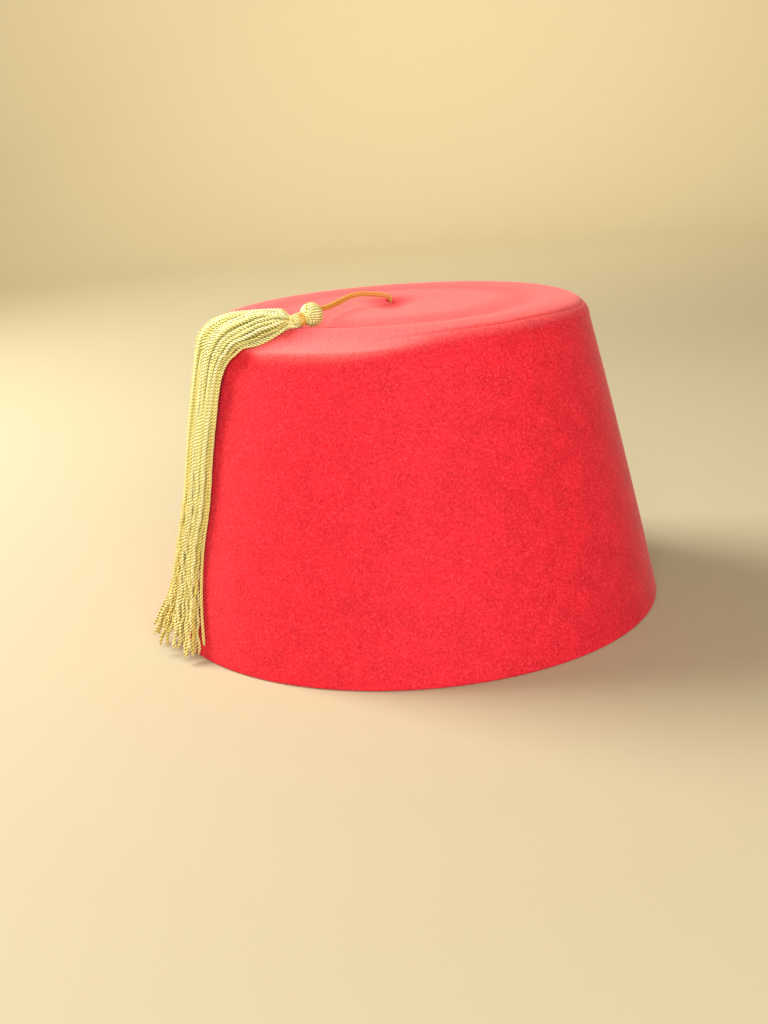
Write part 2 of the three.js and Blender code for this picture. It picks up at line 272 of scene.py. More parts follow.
def new_material(name):
    """An empty node material and its shader."""
    material = bpy.data.materials.new(name)
    material.use_nodes = True
    tree = material.node_tree
    tree.nodes.clear()
    shader = add_node(tree, "BsdfPrincipled")
    add_node(tree, "OutputMaterial", {"Surface": shader.outputs["BSDF"]})
    return material, tree, shader


print("middle grey #808080 is", round(linear("#808080")[0], 3), "in linear light")

# %% [markdown]
# ## Red wool felt
# Pressed wool felt is a mat of short curled fibres with no weave. It has no gloss, but its
# standing fibres catch light at a low angle: that is the sheen. On top of that real sheen, the
# top and the rolled edge are painted a paler pink than the side: a painted sheen, which stands
# in for the light that the fibres catch there. Dye takes a little unevenly, which gives a soft
# mottle, and the fibres give a fine bump. Single fibres are about 0.03 mm thick, too fine to
# show, so the clumps that they lie in are drawn.

# %% Felt material
FIBRE_CLUMP, CLUMP_RELIEF = 0.7 * MM, 0.12 * MM
CLOUD_SIZE = 9 * MM
PAINTED_SHEEN_GAIN, PAINTED_SHEEN_LOSS = 1.8, 0.12      # painted sheen shows by gain x fibres - loss, so never evenly


def red_wool_felt():
    """Dyed and pressed wool felt, with a painted sheen that makes its top and edge paler."""
    material, tree, shader = new_material("red_wool_felt")
    place = add_node(tree, "TexCoord").outputs["Object"]
    fibres = add_node(tree, "TexNoise", {
        "Vector": place, "Scale": 1 / FIBRE_CLUMP, "Detail": 3.0, "Roughness": 0.6, "Distortion": 1.2})
    clouds = add_node(tree, "TexNoise", {
        "Vector": place, "Scale": 1 / CLOUD_SIZE, "Detail": 4.0, "Roughness": 0.55})
    dye = ramp_colour(tree, fibres.outputs["Fac"], [(0.3, "#B40C1E"), (0.5, "#D81A2C"), (0.7, "#EE3A46")])
    shade = ramp_colour(tree, clouds.outputs["Fac"], [(0.3, "#E9E9E9"), (0.7, "#FFFFFF")])
    pressed = mixed_colour(tree, 1.0, dye, shade, blend="MULTIPLY")
    # Painted sheen: the attribute read here mixes the top and the lip towards the paler pink #F66C68, in
    # place of the light that the felt catches there; where it is lower, that is painted shade.
    painted_sheen = add_node(tree, "Attribute", attribute_name="painted_sheen").outputs["Fac"]
    uneven = arithmetic(tree, "MULTIPLY_ADD", fibres.outputs["Fac"], PAINTED_SHEEN_GAIN, -PAINTED_SHEEN_LOSS)
    sheen_share = arithmetic(tree, "MULTIPLY", painted_sheen, uneven, use_clamp=True)
    bumps = add_node(tree, "Bump", {
        "Height": fibres.outputs["Fac"], "Strength": 0.35, "Distance": CLUMP_RELIEF})
    set_sockets(tree, shader, {
        "Base Color": mixed_colour(tree, sheen_share, pressed, linear("#F66C68")),
        "Normal": bumps.outputs["Normal"], "Roughness": 0.75, "Specular IOR Level": 0.2,
        "Sheen Weight": 0.22, "Sheen Roughness": 0.35, "Sheen Tint": linear("#FFC9C4")})
    return material


felt_material = red_wool_felt()
print(felt_material.name, "has", len(felt_material.node_tree.nodes), "nodes")

# %% [markdown]
# ## Crease and painted sheen
# The block leaves a thin crease along the rolled edge, at the front and right. The painted
# sheen is a paler pink painted on the top and, brightest, on the sunk lip as a painted
# highlight. It is taken off in the moat, in the crease, round the cord's hole and under the
# tassel, which leaves painted shade there. Both depend only on where a point of the felt
# lies, so each is one function of the place.

# %% Crease and painted sheen
HOLE = dict(x=-1.2 * MM, y=14 * MM, radius=1.5 * MM)
CREASE = dict(depth=0.42 * MM, half_width=1.1 * MM, turn=38.0,
              left_fade=(300.0, 250.0), right_fade=(342.0, 360.0),
              left_slide=(270.0, 250.0), slides_left=13.0,
              right_slide=(308.0, 358.0), slides_right=16.0)
PAINTED_SHEEN = dict(fades_from=64.5 * MM, fades_from_if_sunk=71.5 * MM, fade=9.0 * MM,
           shade_in_moat=0.3, shade_in_crease=0.55, highlight_at_lip=0.7)
PAINTED_SHADE_SPOTS = [   # x, y, reach, share of the painted sheen taken off in the middle: painted shade
    (HOLE["x"], HOLE["y"], 15 * MM, 0.95),
    (-33 * MM, -48 * MM, 17 * MM, 0.75)]


def crease_depth(along, azimuth):
    """A thin groove on the rolled edge. It is deepest at the front right, slides lower at both
    ends, and fades out slowly towards the tassel and quickly at the far right."""
    turn = CREASE["turn"] + CREASE["slides_left"] * rise(azimuth, *CREASE["left_slide"])
    turn = turn + CREASE["slides_right"] * rise(azimuth, *CREASE["right_slide"])
    middle = CREST_RADIUS + EDGE_LENGTH * turn / 90
    strength = (1 - rise(azimuth, *CREASE["left_fade"])) * (1 - rise(azimuth, *CREASE["right_fade"]))
    return CREASE["depth"] * strength * bump((along - middle) / CREASE["half_width"])


def painted_sheen_height(along, azimuth, points):
    """How much painted sheen a point gets: 1 on the top, more on the sunk lip as a painted highlight,
    and fading out below the edge. It is taken down in the moat, in the crease and in the painted
    shade spots, which leaves painted shade there."""
    sunk = edge_slump(math.radians(SLUMP["turn"] / 2), azimuth) / SLUMP["depth"]
    fades_from = mix(PAINTED_SHEEN["fades_from"], PAINTED_SHEEN["fades_from_if_sunk"], sunk)
    # pressed is the share of the painted sheen kept at each place: lower in the spots, the moat and the
    # crease, as painted shade.
    pressed = 1.0
    for x, y, reach, share in PAINTED_SHADE_SPOTS:
        away = np.hypot(points[..., 0] - x, points[..., 1] - y)
        pressed = pressed * (1 - share * (1 - smooth(away / reach)))
    moat = bump((np.hypot(points[..., 0], points[..., 1]) - MOAT["radius"]) / MOAT["half_width"])
    creased = crease_depth(along, azimuth) / CREASE["depth"]
    pressed = pressed * (1 - PAINTED_SHEEN["shade_in_moat"] * moat) * (1 - PAINTED_SHEEN["shade_in_crease"] * creased)
    # lip is a painted highlight along the sunk lip.
    lip = 1 + PAINTED_SHEEN["highlight_at_lip"] * sunk * bump((along - PAINTED_SHEEN["fades_from_if_sunk"]) / PAINTED_SHEEN["fade"])
    return (1 - smooth((along - fades_from) / PAINTED_SHEEN["fade"])) * pressed * lip


print("crease runs", round(CREASE["turn"]), "degrees down the rolled edge")

# %% [markdown]
# ## The section of the felt
# The whole crown is one closed surface: the section of the felt, from the cord's hole over
# the outside, round the rim and back up the inside, is carried round the oval. The net starts
# at the hole and not in the middle of the top, so that the hole comes out clean and needs no
# cut. The points are closest on the rolled edge, which bends most.

# %% Section of the felt
RIM_ROUND, HOLE_ROUND = 0.9 * MM, 0.5 * MM
FINE_PAST_EDGE = 2 * MM
POINTS = dict(top=48, edge=46, side=64, rim=9, side_inside=30, edge_inside=16, top_inside=18)


def section_of_felt():
    """(distance along the felt, depth under its outer skin) round the closed section."""
    lean = (RIM_RADIUS - TOP_RADIUS) / SIDE_HEIGHT
    half_turn = np.linspace(0, math.pi, POINTS["rim"])
    first, last = HOLE["radius"], FELT_END - RIM_ROUND
    outside = np.concatenate([
        np.linspace(first + HOLE_ROUND, CREST_RADIUS, POINTS["top"])[:-1],
        np.linspace(CREST_RADIUS, SIDE_START + FINE_PAST_EDGE, POINTS["edge"])[:-1],
        np.linspace(SIDE_START + FINE_PAST_EDGE, last, POINTS["side"])])
    rim_depth = FELT * (1 - np.cos(half_turn)) / 2
    rim_along = last + RIM_ROUND * np.sin(half_turn) - rim_depth * lean
    inside = np.concatenate([
        np.linspace(last - FELT * lean, SIDE_START, POINTS["side_inside"])[1:],
        np.linspace(SIDE_START, CREST_RADIUS, POINTS["edge_inside"])[1:],
        np.linspace(CREST_RADIUS, first + HOLE_ROUND, POINTS["top_inside"])[1:]])
    lip_depth = FELT * (1 + np.cos(half_turn)) / 2
    lip_along = first + HOLE_ROUND * (1 - np.sin(half_turn))
    along = np.concatenate([outside[:-1], rim_along, inside[:-1], lip_along[:-1]])
    depth = np.concatenate([outside[:-1] * 0, rim_depth, inside[:-1] * 0 + FELT, lip_depth[:-1]])
    return along, depth


section_along, section_depth = section_of_felt()
print("points round the section:", len(section_along))

# %% [markdown]
# ## The crown
# A hatter's felt is equally thick everywhere, also round the rolled edge. So each point goes
# down from the outer skin along the normal: straight down would thin the felt on the edge.
# Each point of the outside also carries its share of the painted sheen, which is lower where
# painted shade falls, for the finish to read.

# %% Crown mesh
AROUND = 320


def felt_crown():
    """Point(section, azimuth) = felt's outer skin less the depth along its normal."""
    along, azimuth = np.meshgrid(section_along, np.linspace(0, 360, AROUND, endpoint=False), indexing="ij")
    outside = section_depth[:, None] < FELT / 2
    hole = (HOLE["x"] / math.sqrt(TOP_OVAL), HOLE["y"] * math.sqrt(TOP_OVAL))
    under = section_depth[:, None] + crease_depth(along, azimuth) * outside
    points = felt_point(along, azimuth, hole) - felt_normal(along, azimuth, hole) * under[..., None]
    points[..., 2] = np.maximum(points[..., 2], 0.0)
    faces = tube_faces(1, len(along) + 1, AROUND) % (len(along) * AROUND)
    made = add_piece("felt_crown", points, [faces[:, ::-1]], felt_material)
    painted_sheen_share = painted_sheen_height(along, azimuth, points) * outside
    painted_sheen = made.data.attributes.new("painted_sheen", "FLOAT", "POINT")
    painted_sheen.data.foreach_set("value", painted_sheen_share.reshape(-1).astype(np.float32))
    return made


crown = felt_crown()
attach(crown, "root")
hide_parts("crown")

# %% [markdown]
# ## Standing fibres
# Loose ends of wool stand off the felt like the down on a peach. They soften its outline and
# leave pale flecks on it. Each is a thin closed needle of four triangles. A real fibre is
# finer still, so there are fewer of them here and each is thicker.

# %% Needles on the felt
FIBRES = 36000
FIBRE_RADIUS = 0.04 * MM
FIBRE_LENGTH_MM, FIBRE_RISE = (0.45, 1.15), (0.15, 0.6)
FOOT_DEPTH, BARE_AT_RIM = 0.08 * MM, 4 * MM
ON_TOP, TOP_FROM, TOP_REACH = 0.25, 0.06, 0.9


def loose_wool_fibre():
    """Single dyed wool fibres, paler than the mat because light passes through them."""
    material, tree, shader = new_material("loose_wool_fibre")
    set_sockets(tree, shader, {"Base Color": linear("#F8787A"), "Roughness": 0.6})
    return material


def standing_fibres(material):
    """Needle = three points round the foot, and a tip that leans off the felt some random way."""
    pick = np.random.default_rng(3)
    share, bearing = pick.random(FIBRES), pick.uniform(0, 360, FIBRES)
    along_top = SIDE_START * TOP_FROM + SIDE_START * TOP_REACH * np.sqrt(share / ON_TOP)
    along_side = mix(CREST_RADIUS, FELT_END - BARE_AT_RIM, (share - ON_TOP) / (1 - ON_TOP))
    along = np.where(share < ON_TOP, along_top, along_side)
    normal = felt_normal(along, bearing)
    foot = felt_point(along, bearing) - normal * FOOT_DEPTH
    lean = unit(np.cross(normal, pick.normal(0, 1, (FIBRES, 3))))
    length = pick.uniform(*FIBRE_LENGTH_MM, FIBRES)[:, None] * MM
    tip = foot + (normal * pick.uniform(*FIBRE_RISE, (FIBRES, 1)) + lean) * length
    onward = unit(tip - foot)
    aside = unit(np.cross(onward, normal))
    above = np.cross(aside, onward)
    angle = np.array([0, 2, 4])[:, None] * math.pi / 3
    ring = foot[:, None] + FIBRE_RADIUS * (aside[:, None] * np.cos(angle) + above[:, None] * np.sin(angle))
    points = np.concatenate([ring, tip[:, None]], axis=1)
    corners = np.array([(0, 2, 1), (0, 1, 3), (1, 2, 3), (2, 0, 3)])
    faces = (np.arange(FIBRES) * 4)[:, None, None] + corners
    return add_piece("felt_standing_fibres", points, [faces.reshape(-1, 3)], material)


fibres = standing_fibres(loose_wool_fibre())
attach(fibres, "root")
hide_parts("crown")

# %% [markdown]
# ## Twisted yarn
# All of the tassel is yarn: two plies twisted round each other. A full strand has two round
# lobes, and its section turns as it goes along, which gives the rope look and the small
# shining bumps. Sweeping one two-lobed section along a path is far lighter than two helices,
# and it is the same shape. The plies run up to the right, as a Z twist does. Each yarn has its
# own stretch of one long map, so that a finish can tell the yarns apart.

# %% Sweep of a two-ply section
STRAND_STEP = 1000.0     # the map's height for each yarn: more than any yarn's length in mm


def yarn_rings(paths, radius, lay, outward, sides=8, turn=0.0, waist=0.36):
    """Point = path + r(a) (side vector cos b + outward vector sin b), where b runs round the
    section, a = b less the twist, and r is radius x (waist + (1 - waist) |cos a|).
    The twist grows by a full turn for each `lay` of the path's length."""
    onward = unit(np.gradient(paths, axis=1))
    outward = unit(outward - onward * np.sum(outward * onward, axis=-1, keepdims=True))
    sideways = np.cross(outward, onward)
    steps = np.linalg.norm(np.diff(paths, axis=1), axis=-1)
    length = np.concatenate([np.zeros((len(paths), 1)), np.cumsum(steps, axis=1)], axis=1)
    twist = 2 * math.pi * length / lay + np.asarray(turn)[..., None]
    lobes = np.linspace(0, 2 * math.pi, sides, endpoint=False)
    around = lobes + twist[..., None]
    reach = np.asarray(radius)[..., None] * (waist + (1 - waist) * np.abs(np.cos(lobes)))
    points = (paths[:, :, None] + sideways[:, :, None] * (reach * np.cos(around))[..., None]
              + outward[:, :, None] * (reach * np.sin(around))[..., None])
    return points, length


def yarn_map(length, yarns, rings, sides):
    """u goes once round the section, and v is the length in mm plus the yarn's own step."""
    side = np.arange(sides)
    u = np.stack([side, side + 1, side + 1, side], axis=-1) / sides
    u = np.broadcast_to(u, (yarns, rings - 1, sides, 4))
    v = np.stack([length[:, :-1], length[:, :-1], length[:, 1:], length[:, 1:]], axis=-1)
    v = np.broadcast_to(v[:, :, None] / MM, u.shape) + np.arange(yarns)[:, None, None, None] * STRAND_STEP
    return np.stack([u, v], axis=-1)


def add_yarn(name, paths, radius, lay, outward, material, **shape):
    """One piece of many yarns, each closed at both ends by a point."""
    points, length = yarn_rings(paths, radius, lay, outward, **shape)
    yarns, rings, sides = points.shape[:3]
    side = np.arange(sides)
    after = (side + 1) % sides
    first = (np.arange(yarns) * rings * sides)[:, None]
    last = first + (rings - 1) * sides
    pole = yarns * rings * sides + np.arange(yarns)[:, None]
    start_caps = np.stack(np.broadcast_arrays(first + after, first + side, pole), axis=-1).reshape(-1, 3)
    end_caps = np.stack(np.broadcast_arrays(last + side, last + after, pole + yarns), axis=-1).reshape(-1, 3)
    caps = np.concatenate([start_caps, end_caps])
    all_points = np.concatenate([points.reshape(-1, 3), paths[:, 0], paths[:, -1]])
    uvs = [yarn_map(length, yarns, rings, sides), np.zeros((len(caps), 3, 2))]
    return add_piece(name, all_points, [tube_faces(yarns, rings, sides), caps], material, uvs)


# %% [markdown]
# ## Rayon
# The strands are rayon, a smooth and shiny fibre, dyed a pale gold. Light glances off each
# ply nearly white. The grooves between the plies are painted dark olive, as painted shade, and
# the strands are painted a deeper gold towards their lower ends, also as painted shade, so that
# the upper ends read as the more brightly lit. The cord and the binding are the same fibre in an
# orange gold, with the same painted shade in the grooves. The finish follows the yarn, so it
# reads the yarn's own map: round the section one way and along the strand, in millimetres, the
# other way.

# %% Rayon materials
FILAMENTS_ROUND, FILAMENTS_A_MM, FILAMENT_RELIEF = 10, 0.8, 0.05 * MM
# Painted shade: a deeper gold from 30 mm to 165 mm along each strand, up to 0.6 of the way.
LOWER_END_SHADE = dict(from_mm=30.0, to_mm=165.0, most=0.6)


def twisted_rayon(name, shade_stops, groove_shade_stops, lower_end_shade=None):
    """Rayon yarn: fine filaments along each ply, a slightly different dye on each strand, and
    painted shade in the grooves between the plies. An optional deeper gold is painted on the
    strands' lower ends as painted shade, so that the upper ends read as the more brightly lit."""
    material, tree, shader = new_material(name)
    place = add_node(tree, "TexCoord").outputs["UV"]
    split = add_node(tree, "SeparateXYZ", {"Vector": place})
    number = arithmetic(tree, "FLOOR", arithmetic(tree, "DIVIDE", split.outputs["Y"], STRAND_STEP))
    dye_lot = add_node(tree, "TexWhiteNoise", {"W": number}, noise_dimensions="1D")
    stretch = add_node(tree, "Mapping", {"Vector": place, "Scale": (FILAMENTS_ROUND, FILAMENTS_A_MM, 1.0)})
    filaments = add_node(tree, "TexNoise", {"Vector": stretch.outputs["Vector"], "Scale": 1.0, "Detail": 2.0})
    both = arithmetic(tree, "ADD", dye_lot.outputs["Value"], filaments.outputs["Fac"])
    colour = ramp_colour(tree, arithmetic(tree, "MULTIPLY", both, 0.5), shade_stops)
    angle = arithmetic(tree, "MULTIPLY", split.outputs["X"], 2 * math.pi)
    lobe = arithmetic(tree, "ABSOLUTE", arithmetic(tree, "COSINE", angle))
    # Painted shade: further down each strand the colour goes over to the deeper gold.
    if lower_end_shade:
        along = arithmetic(tree, "MODULO", split.outputs["Y"], STRAND_STEP)
        end_shade = add_node(tree, "MapRange", {"Value": along, "From Min": LOWER_END_SHADE["from_mm"],
                                           "From Max": LOWER_END_SHADE["to_mm"], "To Min": 0.0,
                                           "To Max": LOWER_END_SHADE["most"]})
        colour = mixed_colour(tree, end_shade.outputs[0], colour, linear(lower_end_shade))
    # Painted shade: the colour is multiplied darker where the section narrows between the plies.
    groove_shade = ramp_colour(tree, lobe, groove_shade_stops)
    bumps = add_node(tree, "Bump", {
        "Height": filaments.outputs["Fac"], "Strength": 0.3, "Distance": FILAMENT_RELIEF})
    set_sockets(tree, shader, {
        "Base Color": mixed_colour(tree, 1.0, colour, groove_shade, blend="MULTIPLY"),
        "Normal": bumps.outputs["Normal"], "Roughness": 0.26, "IOR": 1.53, "Specular IOR Level": 0.7,
        "Sheen Weight": 0.25, "Sheen Tint": linear("#FFF7D0")})
    return material


pale_gold = twisted_rayon("pale_gold_rayon", [(0.2, "#CDC258"), (0.5, "#E8E084"), (0.8, "#F9F5C2")],
                          [(0.05, "#74621F"), (0.5, "#DCD6B4"), (0.85, "#FFFFFF")], lower_end_shade="#CBA32C")
orange_gold = twisted_rayon("orange_gold_rayon", [(0.2, "#CC8A0E"), (0.5, "#EAB01A"), (0.8, "#FFDE5A")],
                            [(0.05, "#5A2E0A"), (0.45, "#C89A58"), (0.8, "#FFFFFF")])
print("rayons:", pale_gold.name, "and", orange_gold.name)

# %% [markdown]
# ## The cord
# The cord comes up out of the hole, bends over and runs to the tassel in a low arch. It is
# one fine cord folded double, so two twisted yarns lie side by side. Its length is the whole
# way along this route, from the knot under the felt to the ball of the tassel.

# %% Cord from the hole to the tassel
CORD_DIAMETER = 1.9 * MM
FINE_CORD = CORD_DIAMETER / 4 * 1.05     # a little fat, so that the two yarns touch
CORD_LAY, CORD_STEP, CORD_UP = 2.0 * MM, 0.16 * MM, (0.0, 0.35, 1.0)
ROUTE_POINTS = 600
PAIR_STARTS, PAIR_TURNS = 0.42, 0.30     # in half turns of the pair about its middle
TWIST_STARTS = np.array([0.0, 0.8])      # radians, so that the two yarns don't look alike
CORD_ROUTE = np.array([
    (-1.2, 14.0, 113.1), (-1.2, 14.0, 115.0), (-1.3, 13.9, 116.6), (-2.1, 13.3, 117.8), (-3.9, 12.0, 118.6),
    (-6.6, 10.1, 119.3), (-9.8, 7.4, 120.0), (-13.1, 3.6, 120.6), (-16.1, -1.3, 120.7), (-18.7, -7.2, 120.4),
    (-20.8, -13.4, 120.2), (-22.5, -19.6, 120.2), (-23.9, -25.6, 120.4), (-25.1, -31.0, 120.9),
    (-26.2, -34.7, 121.2), (-26.9, -36.8, 121.3)]) * MM


def through_rows(rows, place):
    """A smooth curve through the rows of a table, at places from 0 to 1: the Catmull-Rom cubic
    p1 + t/2 (p2 - p0 + t (2p0 - 5p1 + 4p2 - p3 + t (3p1 - 3p2 + p3 - p0)))."""
    last = len(rows) - 1
    spot = np.clip(place, 0, 1) * last
    at = np.minimum(spot.astype(int), last - 1)
    t = (spot - at)[..., None]
    p0, p1, p2, p3 = (rows[np.clip(at + k, 0, last)] for k in (-1, 0, 1, 2))
    return p1 + t / 2 * (p2 - p0 + t * (2 * p0 - 5 * p1 + 4 * p2 - p3 + t * (3 * p1 - 3 * p2 + p3 - p0)))


def evenly(path, spacing):
    """The same path with its points evenly spaced, about `spacing` apart."""
    length = np.concatenate([[0], np.cumsum(np.linalg.norm(np.diff(path, axis=0), axis=1))])
    wanted = np.linspace(0, length[-1], max(int(round(length[-1] / spacing)), 2))
    return np.stack([np.interp(wanted, length, path[:, axis]) for axis in range(3)], axis=1), length[-1]


cord_line, cord_length = evenly(through_rows(CORD_ROUTE, np.linspace(0, 1, ROUTE_POINTS)), CORD_STEP)
cord_onward = np.gradient(cord_line, axis=0)
cord_up = np.broadcast_to(CORD_UP, cord_line.shape)
cord_side = unit(np.cross(cord_up, cord_onward))
pair_turn = (PAIR_STARTS + PAIR_TURNS * np.linspace(0, 1, len(cord_line))[:, None]) * math.pi
pair_way = cord_side * np.cos(pair_turn) + unit(np.cross(cord_onward, cord_side)) * np.sin(pair_turn)
both_cords = np.stack([cord_line + pair_way * FINE_CORD, cord_line - pair_way * FINE_CORD])
hanging_cord = add_yarn("hanging_cord_yarn", both_cords, np.full(both_cords.shape[:2], FINE_CORD), CORD_LAY,
                        np.stack([cord_up, cord_up]), orange_gold, turn=TWIST_STARTS)
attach(hanging_cord, "root")
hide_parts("hanging_cord")
print("cord length in mm:", round(cord_length / MM, 1))

# %% [markdown]
# ## The knot under the felt
# Inside the crown the cord ends in a plain overhand knot that can't slip through the hole.
# An overhand knot is the curve that mathematicians call the trefoil, pressed flat.

# %% Inner knot
knot_low, knot_high = (np.array(corner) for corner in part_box("inner_knot"))
knot_middle = (knot_low + knot_high) / 2
KNOT_YARN, KNOT_WAIST, KNOT_POINTS = 0.85 * MM, 0.6, 160


def overhand_knot():
    """The trefoil (sin t + 2 sin 2t, cos t - 2 cos 2t, -sin 3t), fitted into the knot's box."""
    t = np.linspace(0, 2 * math.pi, KNOT_POINTS)
    wide = ((knot_high - knot_low)[0] / 2 - KNOT_YARN) / 3
    high = (knot_high - knot_low)[2] / 2 - KNOT_YARN
    curve = np.stack([(np.sin(t) + 2 * np.sin(2 * t)) * wide, (np.cos(t) - 2 * np.cos(2 * t)) * wide,
                      -np.sin(3 * t) * high], axis=1)
    return (curve + knot_middle)[None]


knot_path = overhand_knot()
inner_knot = add_yarn("inner_knot_yarn", knot_path, np.full(knot_path.shape[:2], KNOT_YARN), CORD_LAY,
                      np.broadcast_to([0.0, 0.0, 1.0], knot_path.shape), orange_gold, turn=np.array([0.0]),
                      waist=KNOT_WAIST)
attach(inner_knot, "root")
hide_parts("inner_knot")

# %% [markdown]
# ## The ball
# The head of the tassel is a ball covered with slanting strands, wound from pole to pole.
# Each strand is a yarn on one simple curve, a line on the ball whose longitude grows with the
# angle from the pole. A plain core of the same rayon fills the ball, so that no gap shows
# through between the strands.

# %% Ball of slanting strands
BALL_MIDDLE = np.array([-28.7, -41.0, 120.3]) * MM
BALL_RADIUS, BALL_SQUASH = 4.2 * MM, 0.96
BALL_STRANDS, BALL_SLANT, POLE_GAP = 20, math.radians(50), math.radians(14)
BALL_STRAND, STRAND_INSET, CORE_INSET = 0.7 * MM, 0.6 * MM, 0.95 * MM
BALL_LAY, BALL_WAIST = 2.2 * MM, 0.55
BALL_TWIST_STEP = 0.7    # radians that each strand's twist starts after the last one's
BALL_POINTS, CORE_RINGS = 70, 18
NECK_AXIS = unit(np.array([-0.72, -0.67, -0.16]))
ACROSS_NECK = unit(np.cross(NECK_AXIS, [0, 0, 1]))
ABOVE_NECK = np.cross(ACROSS_NECK, NECK_AXIS)


def about_neck(along, radius, angle):
    """A point from its distance along the neck's axis, and its radius and angle about it."""
    return (BALL_MIDDLE + NECK_AXIS * along[..., None] + ACROSS_NECK * (radius * np.cos(angle))[..., None]
            + ABOVE_NECK * (radius * np.sin(angle))[..., None])


def ball_of_strands():
    """Strand k runs from pole to pole at the longitude 2πk/n + slant x (polar angle - π/2)."""
    polar = np.linspace(POLE_GAP, math.pi - POLE_GAP, BALL_POINTS)[None]
    number = np.arange(BALL_STRANDS)[:, None]
    longitude = 2 * math.pi * number / BALL_STRANDS + BALL_SLANT * (polar - math.pi / 2)
    thick = BALL_STRAND * np.sqrt(np.sin(polar)) * np.ones((BALL_STRANDS, 1))
    inner = BALL_RADIUS - STRAND_INSET
    paths = about_neck(-inner * BALL_SQUASH * np.cos(polar), inner * np.sin(polar), longitude)
    return add_yarn("tassel_ball_strands", paths, thick, BALL_LAY, paths - BALL_MIDDLE, pale_gold,
                    turn=np.arange(BALL_STRANDS) * BALL_TWIST_STEP, waist=BALL_WAIST)


def core_about_neck(name, along, radius, material, sides=24):
    """A closed core about the neck's axis: rings of these radii, and a point at each end."""
    angle = np.linspace(0, 2 * math.pi, sides, endpoint=False)[None]
    ring_along, ring_radius = (np.repeat(values[1:-1, None], sides, axis=1) for values in (along, radius))
    rings = about_neck(ring_along, ring_radius, angle)
    poles = BALL_MIDDLE + NECK_AXIS * along[[0, -1], None]
    side, count = np.arange(sides), ring_along.size
    after, last = (side + 1) % sides, count - sides
    caps = np.concatenate([np.stack([side, after, side * 0 + count], axis=-1),
                           np.stack([last + after, last + side, side * 0 + count + 1], axis=-1)])
    points = np.concatenate([rings.reshape(-1, 3), poles])
    return add_piece(name, points, [tube_faces(1, len(ring_along), sides)[:, ::-1], caps], material)


ball = ball_of_strands()
core_turn = np.linspace(0, math.pi, CORE_RINGS)
core_reach = BALL_RADIUS - CORE_INSET
ball_core = core_about_neck("tassel_ball_core", -core_reach * np.cos(core_turn),
                            core_reach * np.sin(core_turn), pale_gold)

# %% [markdown]
# ## The binding
# Under the ball a few tight turns of orange thread, laid side by side, tie the strands
# together. The thread is wound as one helix, so each turn shows in the outline, which a plain
# ring with a painted finish would not give. A short core of the strands' rayon fills the neck
# inside it.

# %% Binding of tight turns
GAP = 0.3 * MM           # between the ball, the binding and the strands
BINDING = dict(start=BALL_RADIUS * BALL_SQUASH + GAP, length=2.9 * MM, radius=2.5 * MM, turns=4)
THREAD_PRESSED = 1.15    # the turns are pressed a little into each other
THREAD_LAY, THREAD_WAIST, TURN_POINTS = 1.1 * MM, 0.7, 60
NECK_CORE = np.array([   # mm past the binding's start, and radius in mm
    (-1.2, 0.0), (-1.1, 1.6), (0.0, 2.0), (3.0, 1.8), (3.7, 1.0), (3.9, 0.0)]) * MM


def binding_turns():
    """A helix about the neck's axis: each turn moves on by the thread's own width."""
    thread = BINDING["length"] / BINDING["turns"] / 2
    t = np.linspace(0, 1, TURN_POINTS * BINDING["turns"])[None]
    along = BINDING["start"] + thread + (BINDING["length"] - 2 * thread) * t
    angle = 2 * math.pi * BINDING["turns"] * t
    paths = about_neck(along, np.full(t.shape, BINDING["radius"] - thread), angle)
    middle = about_neck(along, np.zeros(t.shape), angle)
    return add_yarn("tassel_binding_thread", paths, np.full(t.shape, thread * THREAD_PRESSED), THREAD_LAY,
                    paths - middle, orange_gold, turn=np.array([0.0]), waist=THREAD_WAIST)


binding = binding_turns()
neck_core = core_about_neck("tassel_neck_core", BINDING["start"] + NECK_CORE[:, 0], NECK_CORE[:, 1],
                            pale_gold)
for piece, node in ((ball, "tassel_ball"), (ball_core, "tassel_ball"), (binding, "tassel_binding"),
                    (neck_core, "tassel_binding")):
    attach(piece, "root")
    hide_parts(node)

# %% [markdown]
# ## The way of the bundle
# The strands leave the binding, turn to the left as they fan out on the top, roll over the
# edge and hang down the side. A short table follows the whole bundle: at each row, where its
# near and its far edge lie on the felt, how thick it is and how clear of the felt. Places on
# the felt are easier to write than places in space, because the felt then carries the bundle.

# %% The bundle's table
ROW_KEYS = ("near_along", "near_azimuth", "far_along", "far_azimuth", "thick", "clear")
SKIRT_ROWS = np.array([   # mm along the felt and degrees round it, and mm
    (59.2, 237.6, 56.0, 231.4, 4.6, 0.6),    # under the binding
    (62.6, 235.2, 54.0, 227.6, 5.6, 0.5),    # strands let go
    (64.6, 232.4, 52.2, 220.6, 6.0, 0.4),    # turning left
    (66.8, 229.6, 54.0, 212.5, 6.0, 0.4),    # fanned on the top
    (70.8, 226.0, 59.0, 207.6, 5.3, 0.7),    # near edge at the roll
    (74.6, 221.4, 63.8, 205.8, 5.0, 1.2),    # far edge at the roll
    (79.0, 218.0, 68.6, 203.8, 4.9, 1.6),    # over the edge
    (86.0, 216.2, 76.0, 202.4, 4.8, 1.8),    # below the edge
    (97.0, 215.2, 89.0, 201.6, 4.7, 1.6),    # upper side
    (113.0, 214.4, 109.0, 201.0, 4.7, 1.2),  # side, a third down
    (130.0, 214.4, 128.0, 202.0, 4.6, 0.9),  # side, half down
    (148.0, 213.0, 147.0, 199.6, 4.6, 0.7),  # lower side
    (167.0, 214.2, 166.5, 198.6, 5.2, 0.7),  # near the ends
    (186.4, 218.0, 185.9, 199.0, 7.0, 1.0),  # ends
])
STRAND_RADIUS = 0.66 * MM
EDGE_THINNING = 0.32
LINE_POINTS, LINE_ACROSS, LINE_LEVEL = 1500, 0.5, 0.4


